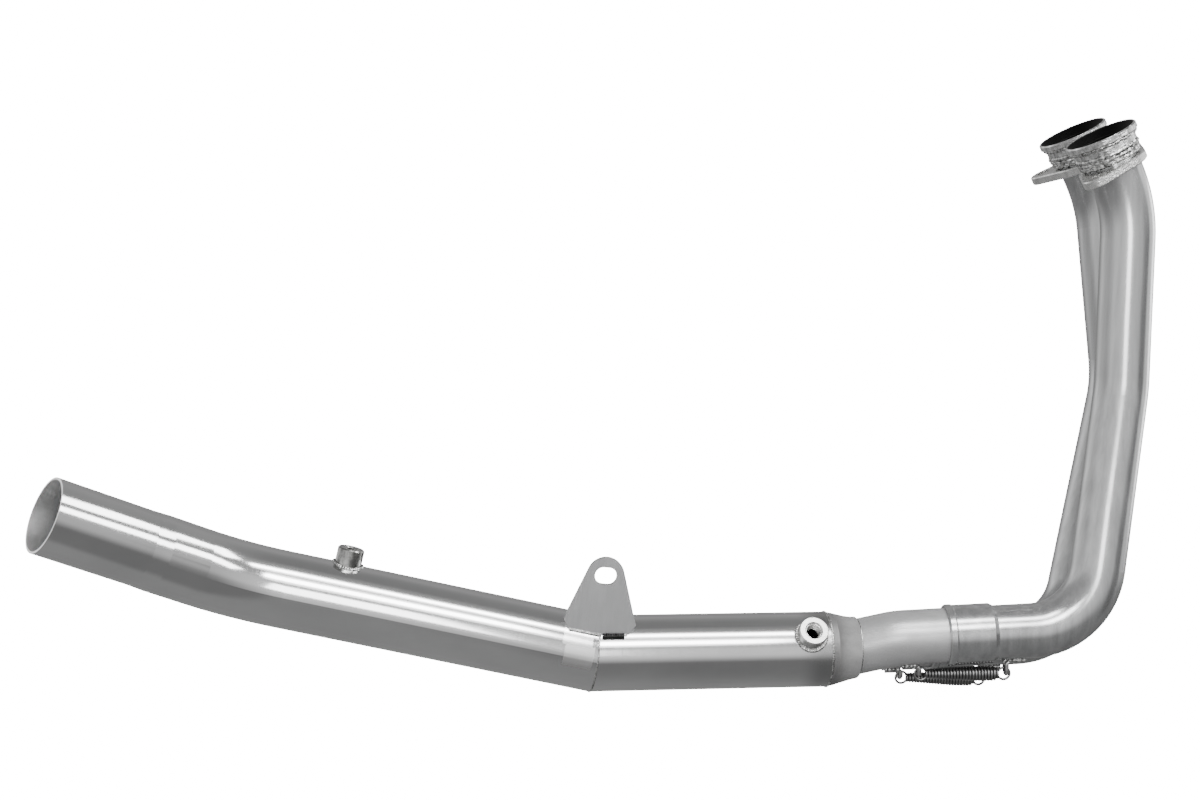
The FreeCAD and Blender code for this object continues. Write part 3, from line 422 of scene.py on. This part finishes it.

# Link pipe. Stainless tube 52 mm across with a 1.5 mm wall, in two lengths that are mitred, welded
# and dressed, and polished along their outside. The outlet is sized down to take the silencer, and
# the heat of welding has dulled the end beside the neck, which is also painted darker as shade
# where it runs into the crease at the neck.
link_radius = 0.026
link_bend = Vector((-0.589, -0.100, -0.2905))
outlet = Vector((-0.6985, -0.164, -0.2345))
rear_axis = (mitre - link_bend).normalized()
outlet_axis = (outlet - link_bend).normalized()
polished = {}
for length, along in (("link_front", collector_axis), ("link_rear", rear_axis)):
    polished[length] = steel(length + "_polish", (0.7, 0.702, 0.705), 0.12, along, mitre, cloud=0.06,
                             cloud_size=0.03, grain=0.02, grain_pitch=0.001, grain_reach=0.02,
                             relief=0.000001)
    finish(length, polished[length])
ground = (1.0, 1.0, 1.0)
stained = (0.62, 0.62, 0.62)
dressed_middle = mitre - rear_axis * 0.0095
dressed_reach = 0.0105
for degrees, radius, tone, roughness in ((6, 0.008, stained, 0.34), (37, 0.0078, ground, 0.2)):
    around = RIGHT * math.cos(math.radians(degrees)) + UP * math.sin(math.radians(degrees))
    refinish(polished["link_rear"], dressed_middle + around * link_radius, rear_axis, radius,
             dressed_reach, tone, roughness)
# Painted shade: the end beside the neck is darker where it runs into the crease at the neck, and
# rougher where the weld's heat has dulled it.
refinish(polished["link_front"], neck_start, collector_axis, all_round, 0.024, (0.42, 0.42, 0.42),
         0.24, edge=0.75)
outlet_bore = link_radius - 0.00125
refinish(polished["link_rear"], outlet, outlet_axis, outlet_bore, 0.09, ground, 0.5)


def mitre_path(count=120):
    """Points round the joint, where the front pipe's outside meets the mitre's plane."""
    normal = (collector_axis + rear_axis).normalized()
    points = []
    for around in ring_path(mitre, collector_axis, link_radius - 0.0002, count):
        slide = (mitre - around).dot(normal) / collector_axis.dot(normal)
        points.append(around + collector_axis * slide)
    return points


weld("mitre_weld", mitre_path(), radius=0.0006, ripple=0.1, unevenness=0.0002)

# Threaded bosses. The sensor's boss and the small one on top are turned from bar, tapped right
# through, and welded into the wall of the link pipe. A wound ridge in each bore stands for its thread.
def coil_tree():
    """Wire wound round the Z axis, drawn in to a smaller radius at each end."""
    tree = new_tree("wound_wire", "Line", (("Length", 0.03), ("Turns", 10.0), ("Radius", 0.004),
                                           ("End Radius", 0.002), ("Front Taper", 0.002),
                                           ("Rear Taper", 0.002), ("Wire Radius", 0.0009)), "Coil")
    nodes = tree.nodes
    links = tree.links
    given = nodes.new("NodeGroupInput")
    resample = nodes.new("GeometryNodeResampleCurve")
    resample.mode = "COUNT"
    links.new(given.outputs["Line"], resample.inputs["Curve"])
    points_per_turn = 20.0
    count = operate(tree, "MULTIPLY", given.outputs["Turns"], points_per_turn)
    links.new(count, resample.inputs["Count"])
    share = nodes.new("GeometryNodeSplineParameter").outputs["Factor"]
    height = operate(tree, "MULTIPLY", share, given.outputs["Length"])
    left = operate(tree, "SUBTRACT", given.outputs["Length"], height)
    front = operate(tree, "DIVIDE", height, given.outputs["Front Taper"])
    rear = operate(tree, "DIVIDE", left, given.outputs["Rear Taper"])
    taper = operate(tree, "MINIMUM", operate(tree, "MINIMUM", front, rear), 1.0)
    swell = operate(tree, "SUBTRACT", given.outputs["Radius"], given.outputs["End Radius"])
    radius = operate(tree, "MULTIPLY_ADD", swell, taper, given.outputs["End Radius"])
    turned = operate(tree, "MULTIPLY", share, given.outputs["Turns"])
    angle = operate(tree, "MULTIPLY", turned, 2 * math.pi)
    place = nodes.new("ShaderNodeCombineXYZ")
    links.new(operate(tree, "MULTIPLY", radius, operate(tree, "COSINE", angle)), place.inputs["X"])
    links.new(operate(tree, "MULTIPLY", radius, operate(tree, "SINE", angle)), place.inputs["Y"])
    links.new(height, place.inputs["Z"])
    wind = nodes.new("GeometryNodeSetPosition")
    links.new(resample.outputs["Curve"], wind.inputs["Geometry"])
    links.new(place.outputs["Vector"], wind.inputs["Position"])
    skin = round_skin(tree, wind.outputs["Geometry"], given.outputs["Wire Radius"], 8)
    hand_out(tree, skin, given.outputs["Material"], "Coil")
    return tree


wound_wire = coil_tree()


def wound(name, start, axis, values):
    """Coil that starts at a point and runs along an axis."""
    line = [Vector((0, 0, 0)), Vector((0, 0, values["Length"]))]
    mesh = from_curve(name, line, False, wound_wire, values)
    mesh.transform(Matrix.Translation(start) @ turned_to(axis, UP).to_4x4())
    return mesh


def saddle_path(place, out, along, boss_radius, count=64):
    """Points round a boss where it stands on the link pipe, whose axis passes through the place."""
    beside = out.cross(along).normalized()
    points = []
    for i in range(count):
        angle = 2 * math.pi * i / count
        side = boss_radius * math.sin(angle)
        rise = math.sqrt(link_radius ** 2 - side ** 2)
        points.append(place + along * (boss_radius * math.cos(angle)) + beside * side + out * rise)
    return points


thread_share = 0.9
thread_sink = 0.0001
ridge_share = 0.36
boss_bright = steel("boss_bright", (0.74, 0.74, 0.73), 0.22, UP, cloud=0.05, grain_pitch=0.0006)
boss_stained = steel("boss_stained", (0.42, 0.42, 0.41), 0.24, UP, cloud=0.4, cloud_size=0.003)
for boss, skin, mount, radius, pitch, along in (
    ("sensor_boss", boss_bright, "sensor_thread", 0.0102, 0.00125, collector_axis),
    ("rear_boss", boss_stained, "rear_thread", 0.009, 0.00125, rear_axis),
):
    thread = mounts[mount]
    out = Vector(thread["axis"]).normalized()
    bore = thread["dims"]["r_mm"] / 1000
    length = thread["dims"]["length_mm"] / 1000
    middle = Vector(thread["pos_m"])
    finish(boss, skin)
    tapped = length * thread_share
    values = {"Length": tapped, "Turns": tapped / pitch, "Radius": bore - thread_sink,
              "End Radius": bore - thread_sink, "Wire Radius": pitch * ridge_share, "Material": skin}
    ridge = wound(boss + "_thread", middle - out * (tapped / 2), out, values)
    piece_of(boss + "_thread", ridge)
    on_axis = mitre + along * (middle - mitre).dot(along)
    weld(boss + "_weld", saddle_path(on_axis, out, along, radius + 0.0004), radius=0.0012, ripple=0.4)

# Hanger bracket. It is laser-cut from 3.5 mm sheet with a slot for an M8 bolt, brushed on its
# faces, cut at its foot to the pipe's round, and welded along both faces. The outer bead stops
# half way, and a dark strip in the corner beyond it is painted shade of the gap under the foot.
hanger = Vector(mounts["hanger_slot"]["pos_m"])
hanger_side = 0.0175
hanger_thickness = 0.0035
hanger_along = (collector_axis + rear_axis).normalized()
hanger_up = (UP - hanger_along * UP.dot(hanger_along)).normalized()
hanger_right = hanger_along.cross(hanger_up)
finish("hanger_bracket", steel("hanger_brushed", (0.52, 0.525, 0.53), 0.36, hanger_up, hanger,
                               cloud=0.05, grain=0.06, grain_pitch=0.02, grain_reach=0.0006,
                               relief=0.00002))


def height_on(pipe_axis, place):
    """Height at which a line up from a place leaves the pipe's round."""
    offset = place - mitre
    offset -= pipe_axis * offset.dot(pipe_axis)
    rise = hanger_up - pipe_axis * hanger_up.dot(pipe_axis)
    half = offset.dot(rise)
    beyond = offset.length_squared - link_radius ** 2
    return (math.sqrt(half ** 2 - rise.length_squared * beyond) - half) / rise.length_squared


def foot_path(face, rear, front, count=14):
    """Points along the plate's foot on one of its faces."""
    side = hanger_side + face * (hanger_thickness / 2 + 0.0003)
    points = []
    for i in range(count + 1):
        place = mitre + hanger_along * (rear + (front - rear) * i / count) + hanger_right * side
        height = max(height_on(collector_axis, place), height_on(rear_axis, place))
        points.append(place + hanger_up * (height + 0.0002))
    return points


foot_rear = -0.0215
foot_front = 0.019
outer_weld_end = 0.001
shade_end = 0.0165
tack_length = 0.002
for face_name, face, front in (("outer", 1, outer_weld_end), ("inner", -1, foot_front)):
    weld(f"hanger_{face_name}_weld", foot_path(face, foot_rear, front), radius=0.0011, closed=False,
         ripple=0.4)
# Painted shade: a dark strip laid in the corner beyond the outer bead stands in for the shade in the
# gap under the foot.
into_corner = hanger_right * 0.0011 - hanger_up * 0.0004
shade_path = [place + into_corner for place in foot_path(1, 0.002, shade_end)]
weld("hanger_corner_shade", shade_path, radius=0.0021, closed=False, ripple=0.2, material=crevice_shade)
for number, place in enumerate((0.0085, shade_end)):
    weld(f"hanger_tack_{number + 1}", foot_path(1, place, place + tack_length, 3), radius=0.0009,
         closed=False, ripple=0.2)

# Spring lugs. Each is 3 mm stainless wire bent to a U, its closed end turned down to hold a
# spring. Its two legs lie along the tube, welded down on their outer sides with coarse beads.
lug_wire = steel("lug_wire", (0.5, 0.5, 0.5), 0.22, FORWARD, cloud=0.08, cloud_size=0.004)
corners = {"near": Vector((-0.142492, -0.053897, -0.342064)),
           "far": Vector((-0.148419, -0.015512, -0.354559))}
lips = {"near": Vector((-0.108579, -0.051913, -0.340667)),
        "far": Vector((-0.115012, -0.009218, -0.355161))}
rear_lug_back = 0.019
front_lug_ahead = 0.042
lug_foot = 0.012
leg_offset = 0.0048
bead_seat = 0.0197
for side in ("near", "far"):
    run = (lips[side] - corners[side]).normalized()
    down = (run * UP.dot(run) - UP).normalized()
    beside = run.cross(down)
    for end, base, away in (("rear", lips[side] - run * rear_lug_back, run * -1),
                            ("front", lips[side] + run * front_lug_ahead, run)):
        lug = f"{side}_{end}_lug"
        finish(lug, lug_wire)
        seat = base + down * math.sqrt(bead_seat ** 2 - leg_offset ** 2)
        for sign, mark in ((1, "inner"), (-1, "outer")):
            leg = seat + beside * (sign * leg_offset)
            weld(f"{lug}_{mark}_weld", [leg + away * (lug_foot * share) for share in (0.08, 0.5, 1.05)],
                 radius=0.0015, closed=False, ripple=0.8, pitch=0.0028, unevenness=0.0012)

# Springs. One tension spring holds each slip joint together: wire of about 2 mm wound close in a
# body that tapers rearwards, its last turn at each end bent up into a round hook.
spring_wire = steel("spring_wire", (0.24, 0.24, 0.24), 0.34, FORWARD, cloud=0.2, cloud_size=0.003,
                    relief=0.000005)
spring_starts = {"near": Vector((-0.070271, -0.049672, -0.368269)),
                 "far": Vector((-0.078963, -0.002427, -0.384972))}
front_hooks = {"near": Vector((-0.066977, -0.049479, -0.368300)),
               "far": Vector((-0.075727, -0.001817, -0.385198))}
rear_hooks = {"near": Vector((-0.124954, -0.052871, -0.367740)),
              "far": Vector((-0.132668, -0.012544, -0.381223))}
coil = {"Length": 0.051479, "Turns": 24.0, "Radius": 0.0043, "End Radius": 0.0023,
        "Front Taper": 0.004, "Rear Taper": 0.034, "Wire Radius": 0.00105, "Material": spring_wire}
hook_bend = {"Radius": 0.0009, "Ripple Pitch": 0.004, "Ripple": 0.0, "Unevenness": 0.0,
             "Material": spring_wire}


def hook_path(centre, toward_coil, up, radius=0.0042, count=36):
    """Points round a hook, from the coil's end nearly back to it."""
    opening = math.radians(35)
    step = (2 * math.pi - 2 * opening) / count
    angles = [opening + step * i for i in range(count + 1)]
    return [centre + (toward_coil * math.cos(a) + up * math.sin(a)) * radius for a in angles]


def joined(name, meshes):
    """One mesh from several that share a material."""
    whole = bmesh.new()
    for mesh in meshes:
        whole.from_mesh(mesh)
    one = bpy.data.meshes.new(name)
    whole.to_mesh(one)
    whole.free()
    one.materials.append(meshes[0].materials[0])
    return one


for side in ("near", "far"):
    name = side + "_spring_wire"
    rearward = (rear_hooks[side] - front_hooks[side]).normalized()
    up = (UP - rearward * UP.dot(rearward)).normalized()
    meshes = [wound(name, spring_starts[side], rearward, coil)]
    for centre, toward in ((front_hooks[side], rearward), (rear_hooks[side], rearward * -1)):
        meshes.append(from_curve(name, hook_path(centre, toward, up), False, weld_bead, hook_bend))
    spring = piece_of(name, joined(name, meshes))
    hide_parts(side + "_spring")

# Studio. A white floor runs into a white dome, neither of which shows in the steel. Three stacked
# soft boxes beside the camera draw the bright bands on the polished pipe, with grey lines between
# them, two more on the right draw them on the outlet, and one behind lights the pipes' edges.
floor_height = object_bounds()[0][2] - 0.0005
floor_reach = 4
dome_radius = 6
stage_glow = 16


def white_stage(name, mesh, strength):
    """Plain white surface that only the camera sees, which isn't part of the object."""
    material = bpy.data.materials.new(name)
    material.use_nodes = True
    shader = material.node_tree.nodes["Principled BSDF"]
    shader.inputs["Base Color"].default_value = (0.93, 0.93, 0.93, 1)
    shader.inputs["Roughness"].default_value = 0.9
    shader.inputs["Emission Color"].default_value = (1, 1, 1, 1)
    shader.inputs["Emission Strength"].default_value = strength
    mesh.materials.append(material)
    surface = bpy.data.objects.new(name, mesh)
    surface.visible_diffuse = False
    surface.visible_glossy = False
    surface.visible_transmission = False
    surface.visible_shadow = False
    bpy.context.scene.collection.objects.link(surface)


floor = bpy.data.meshes.new("floor")
floor_corners = [(x * floor_reach, y * floor_reach, floor_height)
                 for x, y in ((-1, -1), (1, -1), (1, 1), (-1, 1))]
floor.from_pydata(floor_corners, [], [(0, 1, 2, 3)])
white_stage("floor", floor, stage_glow)
dome = bpy.data.meshes.new("dome")
shell = bmesh.new()
bmesh.ops.create_uvsphere(shell, u_segments=48, v_segments=24, radius=dome_radius)
bmesh.ops.reverse_faces(shell, faces=shell.faces)
shell.to_mesh(dome)
shell.free()
white_stage("dome", dome, stage_glow)


def soft_box(name, place, target, width, height, power):
    """Rectangular lamp that faces a target."""
    lamp = bpy.data.lights.new(name, "AREA")
    lamp.shape = "RECTANGLE"
    lamp.size = width
    lamp.size_y = height
    lamp.energy = power
    holder = bpy.data.objects.new(name, lamp)
    holder.location = place
    holder.rotation_euler = (place - target).to_track_quat("Z", "Y").to_euler()
    holder.visible_camera = False
    bpy.context.scene.collection.objects.link(holder)


middle = Vector((-0.35, -0.08, -0.3))


def from_elevation(x, degrees, distance):
    """Place on the camera's side at a height angle above the object's middle."""
    angle = math.radians(degrees)
    return Vector((x, middle.y - distance * math.cos(angle), middle.z + distance * math.sin(angle)))


for name, x, degrees, width, height, distance, power in (
    ("low_box", -0.06, 13.0, 0.5, 0.6, 1.9, 7),
    ("middle_box", 0.125, 42.0, 0.75, 0.8, 1.9, 6),
    ("middle_core", 0.125, 42.0, 0.73, 0.37, 1.88, 12),
    ("high_box", 0.3, 66.0, 1.1, 0.6, 1.9, 6.5),
    ("high_core", 0.3, 67.0, 1.08, 0.27, 1.88, 12),
):
    target = Vector((x, middle.y, middle.z))
    soft_box(name, from_elevation(x, degrees, distance), target, width, height, power)
outlet_side = Vector((-0.66, -0.17, -0.235))
soft_box("right_low_box", Vector((1.19, -0.955, 0.66)), outlet_side, 0.9, 0.4, 11)
soft_box("right_high_box", Vector((0.97, -0.03, 1.235)), outlet_side, 0.9, 0.35, 10)
soft_box("edge_box", Vector((1.5, 1.0, -0.2)), middle, 0.7, 0.8, 6)


def grey(tone):
    """Neutral colour of a tone."""
    return (tone, tone, tone, 1)


def tone_ramp(tree, source, tones):
    """Grey tones along a share from 0 to 1."""
    ramp = tree.nodes.new("ShaderNodeValToRGB")
    elements = ramp.color_ramp.elements
    for place, tone in tones[1:-1]:
        elements.new(place).color = grey(tone)
    for element, (place, tone) in ((elements[0], tones[0]), (elements[len(elements) - 1], tones[-1])):
        element.position = place
        element.color = grey(tone)
    tree.links.new(source, ramp.inputs["Fac"])
    return ramp.outputs["Color"]


def share_of(tree, source, low, high):
    """Smooth share from 0 to 1 as a value runs from low to high."""
    share = tree.nodes.new("ShaderNodeMapRange")
    share.interpolation_type = "SMOOTHSTEP"
    share.inputs["From Min"].default_value = low
    share.inputs["From Max"].default_value = high
    tree.links.new(source, share.inputs["Value"])
    return share.outputs["Result"]


def blended(tree, share, first, second):
    """First colour turning into the second with a share."""
    blend = tree.nodes.new("ShaderNodeMix")
    blend.data_type = "RGBA"
    tree.links.new(share, blend.inputs["Factor"])
    for name, colour in (("A", first), ("B", second)):
        if isinstance(colour, tuple):
            blend.inputs[name].default_value = colour
        else:
            tree.links.new(colour, blend.inputs[name])
    return blend.outputs["Result"]


world = bpy.data.worlds.new("room")
bpy.context.scene.world = world
world.use_nodes = True
room = world.node_tree
direction = room.nodes.new("ShaderNodeTexCoord")
sides = room.nodes.new("ShaderNodeSeparateXYZ")
room.links.new(direction.outputs["Generated"], sides.inputs["Vector"])
across_room = room.nodes.new("ShaderNodeMapRange")
across_room.inputs["From Min"].default_value = -1.0
across_room.inputs["From Max"].default_value = 1.0
room.links.new(sides.outputs["X"], across_room.inputs["Value"])
front_tone = tone_ramp(room, across_room.outputs["Result"], (
    (0.0, 0.3), (0.05, 0.6), (0.2, 0.55), (0.4, 0.8), (0.5, 0.7), (0.7, 0.5), (0.9, 0.35), (1.0, 0.3)))
back_tone = tone_ramp(room, across_room.outputs["Result"], (
    (0.0, 0.35), (0.12, 0.8), (0.3, 0.2), (0.7, 0.15), (0.9, 0.7), (1.0, 0.8)))
front = share_of(room, sides.outputs["Y"], 0.08, -0.08)
walls = blended(room, front, back_tone, front_tone)
floor_tone = blended(room, share_of(room, sides.outputs["X"], 0.1, 0.3), grey(0.15), grey(0.1))
walls = blended(room, share_of(room, sides.outputs["Z"], 0.07, -0.36), walls, floor_tone)
walls = blended(room, share_of(room, sides.outputs["Z"], 0.3, 0.6), walls, grey(0.2))
roof = operate(room, "MULTIPLY", share_of(room, sides.outputs["Z"], 0.6, 0.95),
               operate(room, "SUBTRACT", 1.0, front))
walls = blended(room, roof, walls, grey(0.13))
dark_corner = operate(room, "MULTIPLY", share_of(room, sides.outputs["X"], 0.8, 0.88),
                      share_of(room, sides.outputs["Y"], -0.03, -0.1))
dark_corner = operate(room, "MULTIPLY", dark_corner, share_of(room, sides.outputs["Z"], 0.1, 0.04))
walls = blended(room, dark_corner, walls, grey(0.03))
room.links.new(walls, room.nodes["Background"].inputs["Color"])
room.nodes["Background"].inputs["Strength"].default_value = 2.0

# Camera. It stands square to the header's right side, 1.5 m off, looking 8 degrees down through a
# 65 mm lens, so that the port rings and the outlet fall where the photograph has them.
lens = bpy.data.cameras.new("photograph")
lens.lens = 65
lens.sensor_width = 36
lens.clip_start = 0.05
viewpoint = bpy.data.objects.new("photograph", lens)
viewpoint.location = (-0.3468, -1.5107, 0.0284)
look_down = 8
viewpoint.rotation_euler = (math.radians(90 - look_down), 0, 0)
bpy.context.scene.collection.objects.link(viewpoint)
bpy.context.scene.camera = viewpoint
